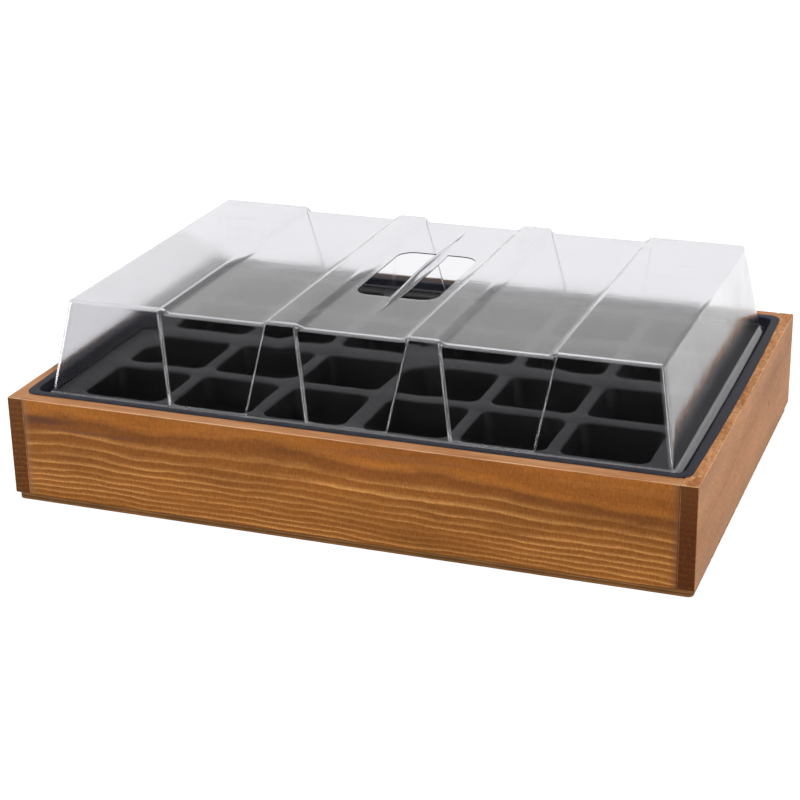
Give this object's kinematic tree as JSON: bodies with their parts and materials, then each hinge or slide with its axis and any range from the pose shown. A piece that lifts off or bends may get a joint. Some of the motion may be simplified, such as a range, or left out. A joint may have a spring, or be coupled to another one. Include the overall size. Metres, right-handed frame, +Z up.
{
  "type": "seed starting box",
  "caption": "Wooden box with a black drip tray, a black insert of sowing cells and a clear ribbed dome with a vent.",
  "frame": {"origin": "middle of the underside of the box", "axes": "+X along the length of the box, -Y towards the front, +Z up"},
  "size_m": [0.39, 0.27, 0.1147],
  "materials": {
    "board_wood": "satin",
    "base_plywood": "matte",
    "pin_steel": "bright",
    "tray_plastic": "satin",
    "insert_plastic": "satin",
    "dome_clear": "clear"
  },
  "bodies": {
    "wooden_box": {"front_board": "board_wood", "back_board": "board_wood", "left_side_board": "board_wood", "right_side_board": "board_wood", "base_board": "base_plywood", "corner_pins": "pin_steel", "base_pins": "pin_steel"},
    "tray": {"drip_tray": "tray_plastic"},
    "insert": {"cell_insert": "insert_plastic"},
    "cover": {"dome": "dome_clear"}
  },
  "joints": [
    {"name": "tray_lift", "type": "slide", "parent": "wooden_box", "child": "tray", "axis": [0, 0, 1], "range_m": [0, 0.075]},
    {"name": "insert_lift", "type": "slide", "parent": "tray", "child": "insert", "axis": [0, 0, 1], "range_m": [0, 0.065]},
    {"name": "dome_lift", "type": "slide", "parent": "insert", "child": "cover", "axis": [0, 0, 1], "range_m": [0, 0.06]}
  ]
}
